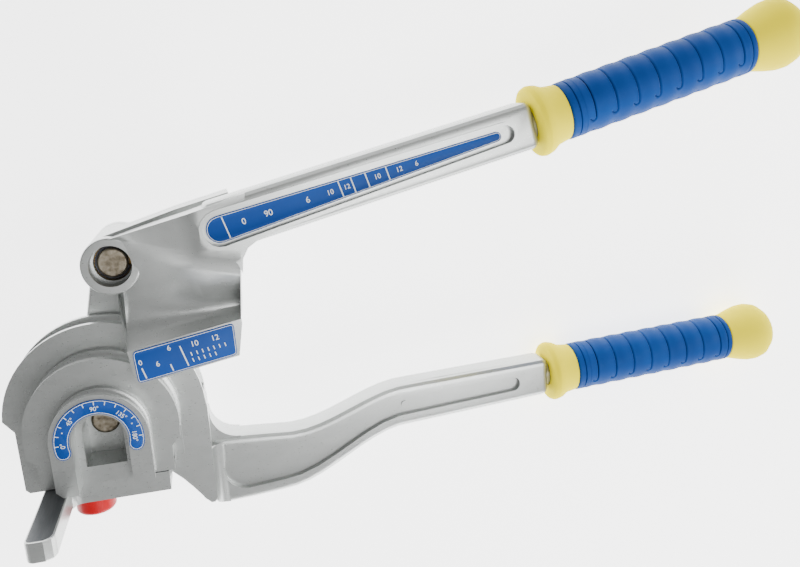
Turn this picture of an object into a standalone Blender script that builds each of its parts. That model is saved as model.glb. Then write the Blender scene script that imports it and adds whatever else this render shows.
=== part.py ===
"""Three-size lever tube bender: stepped forming wheel, swinging link, shoe handle and sliding hook.

Sizes are millimetres, turned into metres when a mesh is made. The tool lies on its back:
+X runs from the wheels to the grips, +Y to the bending handle, +Z out of the scale faces.
The centre pin is the Z axis and the bench is z = 0.
"""
import math

import bmesh
import bpy
from mathutils import Matrix, Vector

MM = 0.001

# Fits
GAP = 0.3                 # between pieces that touch or sit on each other
RUN = 0.08                # radial, pin in bush
SLIDE = 0.2               # each side, rail in slot
PRESS = 0.03              # radial, pressed pieces

# Stack of grooves, bench upwards
HEAD_T = 6.2              # centre pin head under the link
LINK_T = 8.0
LINK_Z = HEAD_T + GAP
WHEEL_Z = LINK_Z + LINK_T + GAP
BIG_T, MID_T, SMALL_T = 17.8, 16.1, 10.2
MID_Z = WHEEL_Z + BIG_T
SMALL_Z = MID_Z + MID_T
FRONT_Z = SMALL_Z + SMALL_T

# Tube radius and bend radius of each groove, and how far the rim stops short of the bend radius
TUBES = ((6.0, 41.8, WHEEL_Z, BIG_T), (5.0, 31.0, MID_Z, MID_T), (3.0, 19.5, SMALL_Z, SMALL_T))
RIM_H = 0.6               # raised border round each long hollow
RIM_SHORT = 0.3
ARCH_R = 10.7             # opening inside the small wheel
LEG_Y = -22.4             # flat under the wheels
BIG_LEG_Y = -30.0
POCKET_R = 8.0
POCKET_DEPTH = 24.7
POCKET_Y = -15.0
WEB_STEP = 0.6            # web face behind the big wheel face
FOOT_STEP = 1.1           # foot face behind the middle wheel face

# Centre pin
PIN_R = 5.9
BUSH_T = 1.4
PIN_HEAD_R = 11.0
PIN_STEM_END = FRONT_Z - POCKET_DEPTH + 3.4

# Top pin, where the bending handle swings on the link
TOP = Vector((13.0, 68.9))
TOP_PIN_R = 5.9
BOSS_R = 11.3
BOSS_Z = FRONT_Z - 4.1
COUNTERBORE_R = 8.15
COUNTERBORE_DEPTH = 9.0
TOP_PIN_Z = BOSS_Z - COUNTERBORE_DEPTH + 1.0
CLIP_T = 1.2
CLIP_DEPTH = 0.7          # groove under a spring ring

# Shoe: straight grooves that stay square to a radius of the wheels
SHOE_TURN = math.radians(9.8)
SHOE_WRAP = 2.0           # shoe lip past the tube's centre
SHOE_LEFT, SHOE_RIGHT = 20.3, 63.0

# Forming handle bar
BAR_Z, BAR_T = 7.1, 16.0
LOW_GRIP_X = 210.5        # where the lower grip starts
BAR_X0, BAR_X1 = 40.0, LOW_GRIP_X - 1.1
BAR_LOW_Y, BAR_HIGH_Y = -38.6, -19.4
ROOT_R = 6.0              # fillet where the web runs into the bar
BEND_X0, BEND_X1 = 76.0, 136.0
BAR_HALF0, BAR_HALF1 = 16.6, 10.4
DISH_DEPTH = 2.6
MARK_X = 134.5            # small round ejector mark in the hollow
LOW_SLOPE = 0.0546

# Bending handle bar
UP_TURN = 0.236
UP_SIDE = 2.2             # bar axis above the top pin
UP_Z, UP_T = FRONT_Z - 4.0, 16.0
UP_HALF0, UP_HALF1 = 10.9, 9.7
SLOT_U0, SLOT_END = 44.6, 14.0     # where the hollow starts, and its distance from the grip
SLOT_R0, SLOT_R1 = 6.4, 3.6        # its round ends
SLOT_DEPTH = 2.4

# Grips
GRIP_R, CORE_R = 12.0, 9.0
FLANGE_R, FLANGE_T = 15.0, 14.0
SLEEVE_L = 88.0
CAP_L, CAP_R = 27.0, 15.2
TANG_R, TANG_L = 6.6, SLEEVE_L + 8.0
UP_GRIP_U = 177.4
UP_GRIP_TURN = 0.2635     # the grip leans a little off the bar

# Hook bar under the wheels
HOOK_T = 8.5
HOOK_Z0, HOOK_Z1 = MID_Z + 0.6, SMALL_Z - 0.9
HOOK_X0, HOOK_X1 = -26.0, 23.8
LEVER_X1 = -15.4
LEVER_REACH = 32.0        # in front of the small wheel face
HOOK_TRAVEL = 22.0
KNOB_X = -8.6
KNOB_R, KNOB_T = 8.2, 7.8
PLUNGER_R, PLUNGER_COLLAR_R = 1.8, 2.9
SPRING_WELL_R = 3.2
PLUNGER_RUN = 0.15
PLUNGER_Z = HOOK_Z0 + 4.3
RAIL_Z = HOOK_Z1 - 4.0
RAIL_W, RAIL_HEAD_W = 3.0, 6.0
RAIL_H, RAIL_HEAD_H = 5.2, 2.2
RAIL_X0, RAIL_X1 = 4.0, 21.0

LABEL_T = 0.5
LABEL_GAP = 0.1
DEGREE_R = 17.3           # outside of the arc label

# Colours of the finishes
GREY = (0.62, 0.63, 0.63)
BLUE = (0.02, 0.13, 0.42)
YELLOW = (0.86, 0.80, 0.10)
RED = (0.62, 0.02, 0.03)
STEEL = (0.50, 0.46, 0.41)
DARK = (0.10, 0.10, 0.11)
BRONZE = (0.50, 0.36, 0.18)


def fresh_scene():
    for item in list(bpy.data.objects):
        bpy.data.objects.remove(item, do_unlink=True)


def finish_colour(obj, name, rgb, metallic, rough):
    mat = bpy.data.materials.get(name)
    if mat is None:
        mat = bpy.data.materials.new(name)
        mat.use_nodes = True
        shader = mat.node_tree.nodes["Principled BSDF"]
        shader.inputs["Base Color"].default_value = (*rgb, 1.0)
        shader.inputs["Metallic"].default_value = metallic
        shader.inputs["Roughness"].default_value = rough
    obj.data.materials.clear()
    obj.data.materials.append(mat)
    return obj


def object_from(bm, name):
    bmesh.ops.remove_doubles(bm, verts=bm.verts, dist=1e-6)
    bmesh.ops.recalc_face_normals(bm, faces=bm.faces)
    mesh = bpy.data.meshes.new(name)
    bm.to_mesh(mesh)
    bm.free()
    obj = bpy.data.objects.new(name, mesh)
    bpy.context.scene.collection.objects.link(obj)
    return obj


def loft(name, rings, split=False):
    """Closed skin through rings of points (mm) that all have the same count."""
    bm = bmesh.new()
    rows = [[bm.verts.new(Vector(p) * MM) for p in ring] for ring in rings]
    count = len(rings[0])
    for a, b in zip(rows, rows[1:]):
        for i in range(count):
            j = (i + 1) % count
            bm.faces.new((a[i], a[j], b[j], b[i]))
    bm.faces.new(rows[0])
    bm.faces.new(rows[-1])
    if split:
        bmesh.ops.triangulate(bm, faces=bm.faces, ngon_method="EAR_CLIP")
    return object_from(bm, name)


def prism(name, outline, z0, z1, round_by=0.0, steps=2):
    obj = loft(name, [[(x, y, z0) for x, y in outline], [(x, y, z1) for x, y in outline]])
    if round_by:
        soften(obj, round_by, steps)
    return obj


def soften(obj, width, steps=2, angle=40):
    mod = obj.modifiers.new("round", "BEVEL")
    mod.width = width * MM
    mod.segments = steps
    mod.limit_method = "ANGLE"
    mod.angle_limit = math.radians(angle)
    apply_modifiers(obj)


def apply_modifiers(obj):
    graph = bpy.context.evaluated_depsgraph_get()
    mesh = bpy.data.meshes.new_from_object(obj.evaluated_get(graph))
    obj.modifiers.clear()
    old = obj.data
    obj.data = mesh
    bpy.data.meshes.remove(old)


def combine(obj, others, how="UNION"):
    for other in others:
        other.hide_render = True
        other.display_type = "WIRE"
        mod = obj.modifiers.new(how.lower(), "BOOLEAN")
        mod.operation = how
        mod.solver = "EXACT"
        mod.object = other
        apply_modifiers(obj)
        bpy.data.objects.remove(other, do_unlink=True)
    tidy_mesh(obj)
    return obj


def cut(obj, others):
    return combine(obj, others, "DIFFERENCE")


def tidy_mesh(obj):
    bm = bmesh.new()
    bm.from_mesh(obj.data)
    bmesh.ops.remove_doubles(bm, verts=bm.verts, dist=1e-7)
    bmesh.ops.recalc_face_normals(bm, faces=bm.faces)
    bm.to_mesh(obj.data)
    bm.free()


def circle(cx, cy, r, count=40):
    turn = 2 * math.pi / count
    return [(cx + r * math.cos(turn * i), cy + r * math.sin(turn * i)) for i in range(count)]


def disc(name, centre, r, z0, z1, count=40, round_by=0.0):
    return prism(name, circle(centre[0], centre[1], r, count), z0, z1, round_by)


def spun(name, profile, origin, along, count=36):
    """Solid of revolution: profile is (distance along, radius) from an origin in a direction."""
    along = Vector(along).normalized()
    side = along.orthogonal().normalized()
    other = along.cross(side)
    rings = []
    for t, r in profile:
        ring = []
        for i in range(count):
            a = 2 * math.pi * i / count
            ring.append(Vector(origin) + along * t + (side * math.cos(a) + other * math.sin(a)) * r)
        rings.append(ring)
    return loft(name, rings)


def pipe(name, profile, origin, along, count=36):
    """Ring of revolution: profile is a closed outline of (distance along, radius)."""
    along = Vector(along).normalized()
    side = along.orthogonal().normalized()
    other = along.cross(side)
    bm = bmesh.new()
    rows = []
    for i in range(count):
        a = 2 * math.pi * i / count
        out = side * math.cos(a) + other * math.sin(a)
        rows.append([bm.verts.new((Vector(origin) + along * t + out * r) * MM) for t, r in profile])
    for i in range(count):
        a, b = rows[i], rows[(i + 1) % count]
        for j in range(len(profile)):
            k = (j + 1) % len(profile)
            bm.faces.new((a[j], a[k], b[k], b[j]))
    return object_from(bm, name)


def move_origin(obj, point):
    offset = Vector(point) * MM
    obj.data.transform(Matrix.Translation(-offset))
    obj.location = offset
    return obj


def ease(t):
    t = min(max(t, 0.0), 1.0)
    return t * t * (3 - 2 * t)


def shoe_point(along, out):
    """Point given along the shoe and out from the wheel centre."""
    c, s = math.cos(SHOE_TURN), math.sin(SHOE_TURN)
    return (along * c - out * s, along * s + out * c)


def up_point(along, side):
    """Point in the bending handle's own directions, from the top pin."""
    c, s = math.cos(UP_TURN), math.sin(UP_TURN)
    return (TOP.x + along * c - side * s, TOP.y + along * s + side * c)


def up_direction():
    return (math.cos(UP_GRIP_TURN), math.sin(UP_GRIP_TURN), 0.0)


def low_direction():
    length = math.hypot(1.0, LOW_SLOPE)
    return (1.0 / length, LOW_SLOPE / length, 0.0)


def bar_mid(x):
    rise = BAR_LOW_Y + (BAR_HIGH_Y - BAR_LOW_Y) * ease((x - BEND_X0) / (BEND_X1 - BEND_X0))
    return rise + LOW_SLOPE * max(x - BEND_X1, 0.0)


def bar_half(x):
    wide = BAR_HALF0 + (BAR_HALF1 - BAR_HALF0) * ease((x - BAR_X0) / (BEND_X1 - BAR_X0))
    return wide - 0.9 * ease((x - BEND_X1) / (BAR_X1 - BEND_X1))


def mix(a, b, t):
    return a * (1 - t) + b * t


def bezier(a, b, c, steps):
    return [mix(mix(a, b, i / steps), mix(b, c, i / steps), i / steps) for i in range(steps + 1)]


def arch_points(r, steps=36):
    """Half circle from the left side over the top to the right side."""
    return [(-r * math.cos(math.pi * i / steps), r * math.sin(math.pi * i / steps)) for i in range(steps + 1)]


def wheel(tube_r, bend_r, z0, depth, left, right, skip=0):
    """One wheel: rim over the top, legs below, and its tube groove cut round the rim."""
    body = prism("wheel", arch_points(bend_r - RIM_SHORT)[skip:] + right + left, z0, z0 + depth)
    path = [(-bend_r, -70.0, -1, 0)]
    path += [(x, y, x / bend_r, y / bend_r) for x, y in arch_points(bend_r)]
    path.append((bend_r, -70.0, 1, 0))
    rings = []
    for x, y, nx, ny in path:
        ring = []
        for i in range(24):
            a = 2 * math.pi * i / 24
            out = tube_r * math.cos(a)
            ring.append((x + nx * out, y + ny * out, z0 + depth / 2 + tube_r * math.sin(a)))
        rings.append(ring)
    return cut(body, [loft("tube", rings)])


def web_outline():
    """Web from the wheels' lower right down to the bar."""
    return [(2, LEG_Y), (18, BIG_LEG_Y + 1), (24, BIG_LEG_Y - 0.6), (28.2, -34.8), (32.4, -40.0),
            (36.9, -46.3), (39.0, -48.4), (40.6, -48.4), (41.8, -46.6), (41.7, -25.4), (42.0, -13.4),
            (42.0, -2.0), (41.2, 4.0), (31.3, -7.0), (20, -17.0), (2, -17.0)]


def foot_outline():
    """Low step beside the middle wheel that closes the rail's slot."""
    return [(14, LEG_Y), (26.4, LEG_Y), (26.4, -11.4), (17.9, -19.4), (14, -19.4)]


def bar_root():
    """Concave fillet from the web's face down to the bar's face."""
    steps, face, top = 8, BAR_Z + BAR_T, MID_Z - WEB_STEP
    rings = []
    for low in (True, False):
        ring = []
        for i in range(steps + 1):
            a = math.pi / 2 * i / steps
            x = 41.4 + ROOT_R * (1 - math.cos(a))
            z = top - (top - face) * math.sin(a)
            drop = (top - z) / (top - face)
            ring.append((x, -47.4 - 6.6 * drop if low else -24.0, z))
        x, y = ring[-1][0], ring[-1][1]
        ring += [(x, y, face - 6), (36.0, y if low else -24.0, face - 6), (36.0, ring[0][1] + 2.0, top)]
        rings.append(ring)
    return loft("bar_root", rings)


def corner_outline():
    """Concave corner in plan between the web's right side and the bar's top side."""
    r, steps = 13.0, 8
    x, y = 42.2 + r, -9.4
    turns = [math.pi / 2 * i / steps for i in range(steps + 1)]
    arc = [(x - r * math.cos(a), y - r * math.sin(a)) for a in turns]
    return [(38.0, y)] + arc + [(x, -30.0), (38.0, -30.0)]


def bar_outline(steps=26):
    xs = [BAR_X0 + (BAR_X1 - BAR_X0) * i / steps for i in range(steps + 1)]
    top = [(x, bar_mid(x) + bar_half(x)) for x in xs]
    low = [(x, bar_mid(x) - bar_half(x)) for x in reversed(xs)]
    return low + top


def dish_outline():
    """Long hollow in the forming handle, with round ends."""
    x0, x1, inset = 56.0, LOW_GRIP_X - 20.5, 6.0
    points = []
    for end, sign in ((x0, -1), (x1, 1)):
        r = bar_half(end) - inset
        for i in range(9):
            a = math.pi / 2 - math.pi * i / 8
            points.append((end + sign * r * math.cos(a), bar_mid(end) + sign * r * math.sin(a)))
    left, right = points[:9], points[9:]
    xs = [x0 + (x1 - x0) * i / 16 for i in range(1, 16)]
    top = [(x, bar_mid(x) + bar_half(x) - inset) for x in xs]
    low = [(x, bar_mid(x) - bar_half(x) + inset) for x in reversed(xs)]
    return top + right + low + left


def rim(name, outline, width, z):
    """Low raised border that follows a hollow's edge."""
    centre = sum((Vector(p) for p in outline), Vector((0, 0))) / len(outline)
    outer = []
    for i, point in enumerate(outline):
        along = Vector(outline[(i + 1) % len(outline)]) - Vector(outline[i - 1])
        out = Vector((along.y, -along.x)).normalized()
        point = Vector(point)
        outer.append(tuple(point + out * width))
    if (Vector(outer[0]) - Vector(outline[0])).dot(Vector(outline[0]) - centre) < 0:
        outer = [tuple(2 * Vector(p) - Vector(q)) for p, q in zip(outline, outer)]
    return prism(name, outer, z - 1.0, z + RIM_H)


def wheel_stack():
    """Big, middle and small wheel with their legs."""
    low = LEG_Y
    rim_r = TUBES[2][1] - RIM_SHORT
    left = [(-ARCH_R, low), (-rim_r + 2.6, low), (-rim_r, low + 2.6)]
    right = [(rim_r, low + 2.6), (rim_r - 2.6, low), (ARCH_R, low)]
    small = wheel(*TUBES[2], left, right + arch_points(ARCH_R, 24)[::-1])
    left = [(-26.9, low), (-26.9, -11.4), (-30.7, -7.9)]
    right = [(30.7, -1.2), (30.1, -7.5), (17.9, -19.2), (17.9, low)]
    mid = wheel(*TUBES[1], left, right)
    left = [(-28.4, low), (-28.4, BIG_LEG_Y), (-35.4, BIG_LEG_Y), (-37.0, BIG_LEG_Y + 1.6), (-37.2, -1.7)]
    right = [(41.5, -2.0), (30.0, -8.0), (30.0, low)]
    return wheel(*TUBES[0], left, right, 1), mid, small


def bent_bar():
    """S-shaped bar, its round tang and the border of its hollow."""
    bar = prism("bar", bar_outline(), BAR_Z, BAR_Z + BAR_T, 3.4, 3)
    start = LOW_GRIP_X - 4.0
    tang = spun("tang", [(0, TANG_R), (TANG_L - 1.0, TANG_R), (TANG_L, TANG_R - 1.0)],
                (start, bar_mid(start), BAR_Z + BAR_T / 2), low_direction(), 28)
    return [bar, tang, rim("border", dish_outline(), 1.5, BAR_Z + BAR_T)]


def rail_slot():
    """Room for the hook bar's T rail along its whole travel."""
    span = (RAIL_X0 - HOOK_TRAVEL - 1, 30.0)
    shoulder = LEG_Y + RAIL_H - RAIL_HEAD_H
    neck = rail_box("neck", span, RAIL_W / 2 + SLIDE, LEG_Y - 1, shoulder)
    head = rail_box("head", span, RAIL_HEAD_W / 2 + SLIDE, shoulder - GAP, LEG_Y + RAIL_H + GAP)
    return [neck, head]


def forming_handle():
    """Casting: three wheels on a core, web, S-shaped bar and round tang."""
    big, mid, small = wheel_stack()
    bar_top, pocket_z = BAR_Z + BAR_T, FRONT_Z - POCKET_DEPTH
    web = prism("web", web_outline(), WHEEL_Z + 1.0, MID_Z - WEB_STEP)
    foot = prism("foot", foot_outline(), MID_Z - 1.0, SMALL_Z - FOOT_STEP)
    corner = prism("corner", corner_outline(), BAR_Z + 1.2, bar_top - 1.2)
    root = prism("root", [(34, -28), (41, -14), (48, -24), (48, -50), (41, -46)], BAR_Z + 2.0, WHEEL_Z + 4.0)
    body = combine(big, [mid, small, web, foot, corner, root, bar_root()] + bent_bar())
    body.name = "forming_handle"
    turns = [math.pi * i / 12 for i in range(13)]
    arc = [(POCKET_R * math.cos(a), POCKET_R * math.sin(a)) for a in turns]
    pocket = prism("pocket", [(-POCKET_R, POCKET_Y), (POCKET_R, POCKET_Y)] + arc, pocket_z, FRONT_Z + 1)
    bore = disc("bore", (0, 0), PIN_R + PRESS, WHEEL_Z - 1, pocket_z + 1)
    dish = prism("dish", dish_outline(), bar_top - DISH_DEPTH, bar_top + 1)
    body = cut(body, [pocket, bore, dish] + rail_slot())
    mark = disc("mark", (MARK_X, bar_mid(MARK_X)), 1.8, bar_top - 3.2, bar_top - 2.0, 20)
    return finish_colour(combine(body, [mark]), "cast_grey", GREY, 0.7, 0.45)


def rail_box(name, span, half, y0, y1):
    x0, x1 = span
    return prism(name, [(x0, y0), (x1, y0), (x1, y1), (x0, y1)], RAIL_Z - half, RAIL_Z + half)


def centre_bush():
    """Bronze sleeve pressed in the link, turning on the centre pin."""
    low, top = LINK_Z + 0.1, LINK_Z + LINK_T - 0.1
    outer = PIN_R + RUN + BUSH_T
    ring = [(0, PIN_R + RUN), (top - low, PIN_R + RUN), (top - low, outer), (0, outer)]
    return finish_colour(pipe("centre_bush", ring, (0, 0, low), (0, 0, 1)), "bronze", BRONZE, 1.0, 0.4)


def centre_pin():
    """Turned pin: head under the link, stem pressed in the casting, chamfered end in the pocket."""
    profile = [(0, PIN_HEAD_R - 0.6), (0.6, PIN_HEAD_R), (HEAD_T - 0.6, PIN_HEAD_R),
               (HEAD_T, PIN_HEAD_R - 0.6), (HEAD_T, PIN_R), (PIN_STEM_END - 1, PIN_R),
               (PIN_STEM_END, PIN_R - 1)]
    pin = spun("centre_pin", profile, (0, 0, 0), (0, 0, 1), 40)
    groove_z = FRONT_Z - POCKET_DEPTH + GAP
    cut(pin, [pipe("groove", ring_groove(PIN_R), (0, 0, groove_z - 0.1), (0, 0, 1), 40)])
    return finish_colour(pin, "pin_steel", STEEL, 1.0, 0.35)


def ring_groove(r):
    """Section of a spring ring's groove in a pin."""
    floor, width = r - CLIP_DEPTH, CLIP_T + 0.2
    return [(0, floor), (width, floor), (width, r + 1), (0, r + 1)]


def snap_ring(name, centre, z, inner):
    """Spring ring with a gap, seated in a pin's groove."""
    outer = inner + 1.7
    steps, gap = 28, math.radians(34)
    rings = []
    for i in range(steps + 1):
        a = gap / 2 + (2 * math.pi - gap) * i / steps
        c, s = math.cos(a), math.sin(a)
        rings.append([(centre[0] + r * c, centre[1] + r * s, h)
                      for r, h in ((inner, z), (outer, z), (outer, z + CLIP_T), (inner, z + CLIP_T))])
    return finish_colour(loft(name, rings), "spring_steel", DARK, 1.0, 0.4)


def link_arm():
    """Flat link between the two pins, wider at the wheel end."""
    count = 18
    away = math.atan2(TOP.y, TOP.x)
    low_r, top_r = 14.0, BOSS_R
    points = []
    for i in range(count + 1):
        a = away + math.pi / 2 + math.pi * i / count
        points.append((low_r * math.cos(a), low_r * math.sin(a)))
    for i in range(count + 1):
        a = away - math.pi / 2 + math.pi * i / count
        points.append((TOP.x + top_r * math.cos(a), TOP.y + top_r * math.sin(a)))
    arm = prism("link_arm", points, LINK_Z, LINK_Z + LINK_T, 1.0)
    low = disc("low", (0, 0), PIN_R + RUN + BUSH_T + PRESS, LINK_Z - 1, LINK_Z + LINK_T + 1)
    top = disc("top", TOP, TOP_PIN_R + PRESS, LINK_Z - 1, LINK_Z + LINK_T + 1)
    return finish_colour(cut(arm, [low, top]), "link_grey", GREY, 0.7, 0.45)


def top_pin():
    """Plain pin pressed in the link, ring groove and chamfer at its front end."""
    low = LINK_Z - 0.2
    length = TOP_PIN_Z - low
    profile = [(0, TOP_PIN_R - 0.6), (0.6, TOP_PIN_R), (length - 0.6, TOP_PIN_R), (length, TOP_PIN_R - 0.6)]
    pin = spun("top_pin", profile, (TOP.x, TOP.y, low), (0, 0, 1), 40)
    cut(pin, [pipe("groove", ring_groove(TOP_PIN_R), (TOP.x, TOP.y, top_clip_z() - 0.1), (0, 0, 1), 40)])
    return finish_colour(pin, "pin_steel", STEEL, 1.0, 0.35)


def top_clip_z():
    return BOSS_Z - COUNTERBORE_DEPTH - 3.0


def top_clip():
    return snap_ring("top_clip", TOP, top_clip_z(), TOP_PIN_R - 0.55)


def top_bush():
    """Bronze sleeve pressed in the bending handle's boss."""
    low = WHEEL_Z + 0.5
    length = top_clip_z() - GAP - low
    outer = TOP_PIN_R + RUN + BUSH_T
    ring = [(0, TOP_PIN_R + RUN), (length, TOP_PIN_R + RUN), (length, outer), (0, outer)]
    return finish_colour(pipe("top_bush", ring, (TOP.x, TOP.y, low), (0, 0, 1)), "bronze", BRONZE, 1.0, 0.4)


def shoe_layer(name, out, z0, z1, left, top):
    """One step of the shoe, its lip at a distance out from the wheel centre."""
    lean = 0.18
    outline = [shoe_point(left, out), shoe_point(SHOE_RIGHT - 1.0 + (out - 17) * 0.2, out),
               shoe_point(SHOE_RIGHT + (top - 17) * 0.28, top), shoe_point(left + (top - out) * lean, top)]
    return prism(name, outline, z0, z1)


def shoe_groove(tube_r, bend_r, z0, depth):
    a = shoe_point(-20, bend_r)
    c, s = math.cos(SHOE_TURN), math.sin(SHOE_TURN)
    r = tube_r + 0.1
    return spun("groove", [(0, r), (130, r)], (a[0], a[1], z0 + depth / 2), (c, s, 0), 36)


def shoe_body_outline():
    """Front view of the casting between its boss, its shoe and its bar."""
    return [shoe_point(21.8, 33.0), shoe_point(23.6, 44.0), shoe_point(24.0, 49.5), shoe_point(22.6, 53.0),
            shoe_point(19.0, 55.4), (TOP.x - 5.6, TOP.y - 9.4), (TOP.x, TOP.y), (TOP.x - 2.4, TOP.y + 11.0),
            up_point(30, UP_SIDE + 10.4), up_point(52, UP_SIDE + 10.4), (66.0, 76.0), (63.4, 70.5),
            (62.6, 63.0), shoe_point(67.2, 40.0), shoe_point(66.2, 33.0)]


def slope_section(s):
    """Section across the bending handle's front, from its boss at 0 to its right side at 1."""
    rise = (UP_Z + UP_T - BOSS_Z - 0.1) * min(1.0, s / 0.62)
    face = BOSS_Z + 0.1 + rise
    top = Vector((*up_point(2 + 56 * s, 10.2 + 2.4 * s), face))
    crease = Vector((19.5 + 42.2 * s, 78.8 - 13.3 * s, face))
    valley = Vector((15.6 + 46.4 * s, 44.4 + 3.6 * s, FRONT_Z - 9.5))
    edge = Vector((15.2 + 45.1 * s, 35.1 + 7.9 * s, FRONT_Z))
    low = Vector((*shoe_point(SHOE_LEFT + (SHOE_RIGHT - 1 - SHOE_LEFT) * s, 17.5), FRONT_Z))
    down = Vector((0, 0, -1))
    ring = [top] + bezier(mix(crease, top, 0.25), crease, mix(crease, valley, 0.2), 5)
    ring += bezier(mix(valley, crease, 0.34), valley, mix(valley, edge, 0.55), 6)
    ring += [edge, low, low + down * 3, edge + down * 17, top + down * (9 + 6 * s)]
    return [tuple(point) for point in ring]


def shoe_steps():
    """Three layers of the shoe, one beside each wheel."""
    layers = []
    for (tube_r, bend_r, z0, depth), left in zip(TUBES, (22.0, 21.0, SHOE_LEFT)):
        wall = 8.0 if depth < BIG_T else 10.0
        layers.append(shoe_layer("layer", bend_r - SHOE_WRAP, z0 + 2 * GAP, z0 + depth, left,
                                 bend_r + tube_r + wall))
    return layers


def straight_bar():
    """Bar to the grip, the fillet at its root, its round tang and the border of its hollow."""
    u0, u1 = 40.0, UP_GRIP_U - GAP
    outline = [up_point(u0, UP_SIDE - UP_HALF0 + 2), up_point(u1, UP_SIDE - UP_HALF1),
               up_point(u1, UP_SIDE + UP_HALF1), up_point(u0, UP_SIDE + UP_HALF0)]
    bar = prism("bar", outline, UP_Z, UP_Z + UP_T, 3.2, 3)
    fillet = prism("fillet", [up_point(44, UP_SIDE), (62.7, 64.0), (63.3, 69.5), (65.6, 73.6), (69.6, 76.2),
                              (76.0, 78.2), up_point(66, UP_SIDE)], UP_Z + 0.4, UP_Z + UP_T - 0.6)
    tang = spun("tang", [(-4.0, TANG_R), (TANG_L - 5.0, TANG_R), (TANG_L - 4.0, TANG_R - 1.0)],
                up_grip_start(), up_direction(), 28)
    return [bar, fillet, tang, rim("border", bar_slot(), 1.4, UP_Z + UP_T)]


def bar_slot():
    return slot_outline(SLOT_U0, UP_GRIP_U - SLOT_END, SLOT_R0, SLOT_R1)


def bending_handle():
    """Casting: boss on the top pin, three stepped shoes, sloped face, straight bar and tang."""
    boss = disc("boss", TOP, BOSS_R, WHEEL_Z, BOSS_Z, 48, 0.8)
    body = prism("body", shoe_body_outline(), MID_Z + 0.8, FRONT_Z - 9.8)
    layers = shoe_steps()
    slope = loft("slope", [slope_section(i / 12) for i in range(13)], True)
    whole = combine(boss, layers + [body, slope] + straight_bar())
    whole.name = "bending_handle"
    front = UP_Z + UP_T
    bore = disc("bore", TOP, TOP_PIN_R + RUN + BUSH_T + PRESS, WHEEL_Z - 1, FRONT_Z, 48)
    wide = disc("wide", TOP, COUNTERBORE_R, BOSS_Z - COUNTERBORE_DEPTH, front + 5, 48)
    dish = prism("dish", bar_slot(), front - SLOT_DEPTH, front + 1)
    grooves = [shoe_groove(*tube) for tube in TUBES]
    cut(whole, [bore, wide, dish] + grooves)
    return finish_colour(whole, "cast_grey", GREY, 0.7, 0.45)


def slot_outline(u0, u1, r0, r1):
    """Tapered slot with round ends, along the bending handle."""
    points = []
    for i in range(9):
        a = math.pi / 2 + math.pi * i / 8
        points.append(up_point(u0 + r0 * math.cos(a), UP_SIDE + r0 * math.sin(a)))
    for i in range(9):
        a = -math.pi / 2 + math.pi * i / 8
        points.append(up_point(u1 + r1 * math.cos(a), UP_SIDE + r1 * math.sin(a)))
    return points


def handle_scale():
    """Thin label in the bending handle's long hollow."""
    z = UP_Z + UP_T - SLOT_DEPTH + LABEL_GAP
    outline = slot_outline(SLOT_U0, UP_GRIP_U - SLOT_END - 3.4, SLOT_R0 - 1.2, SLOT_R1 - 1.6)
    return finish_colour(prism("handle_scale", outline, z, z + LABEL_T), "label_blue", BLUE, 0.0, 0.35)


def round_corners(points, r, steps=4):
    """Outline with each corner replaced by an arc-like run of short edges."""
    out = []
    for i, corner in enumerate(points):
        before, after = Vector(points[i - 1]), Vector(points[(i + 1) % len(points)])
        corner = Vector(corner)
        a = corner + (before - corner).normalized() * r
        b = corner + (after - corner).normalized() * r
        for j in range(steps + 1):
            t = j / steps
            out.append(tuple(a * (1 - t) ** 2 + corner * 2 * t * (1 - t) + b * t ** 2))
    return out


def shoe_scale():
    """Thin label on the front of the smallest shoe."""
    a, b, low, high = SHOE_LEFT + 1.0, SHOE_RIGHT - 1.6, 18.3, 31.4
    outline = [shoe_point(a, low), shoe_point(b, low), shoe_point(b + 2.0, high), shoe_point(a + 1.4, high)]
    z = FRONT_Z + LABEL_GAP
    label = prism("shoe_scale", round_corners(outline, 1.8), z, z + LABEL_T)
    return finish_colour(label, "label_blue", BLUE, 0.0, 0.35)


def degree_scale():
    """Thin arc label on the small wheel's face, round ends."""
    inner, end, steps = ARCH_R + 0.7, math.radians(13), 32
    mid, half = (inner + DEGREE_R) / 2, (DEGREE_R - inner) / 2
    turns = [-end + (math.pi + 2 * end) * i / steps for i in range(steps + 1)]
    points = [(DEGREE_R * math.cos(a), DEGREE_R * math.sin(a)) for a in turns]
    points += round_end(mid, half, math.pi + end, 0.0)
    points += [(inner * math.cos(a), inner * math.sin(a)) for a in reversed(turns)]
    points += round_end(mid, half, -end, -math.pi)
    z = FRONT_Z + LABEL_GAP
    return finish_colour(prism("degree_scale", points, z, z + LABEL_T), "label_blue", BLUE, 0.0, 0.35)


def round_end(mid, half, at, back):
    """Half circle closing an arc label at an angle round the wheel."""
    turns = [at + back + math.pi * i / 8 for i in range(1, 8)]
    return [(mid * math.cos(at) + half * math.cos(a), mid * math.sin(at) + half * math.sin(a)) for a in turns]


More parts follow.
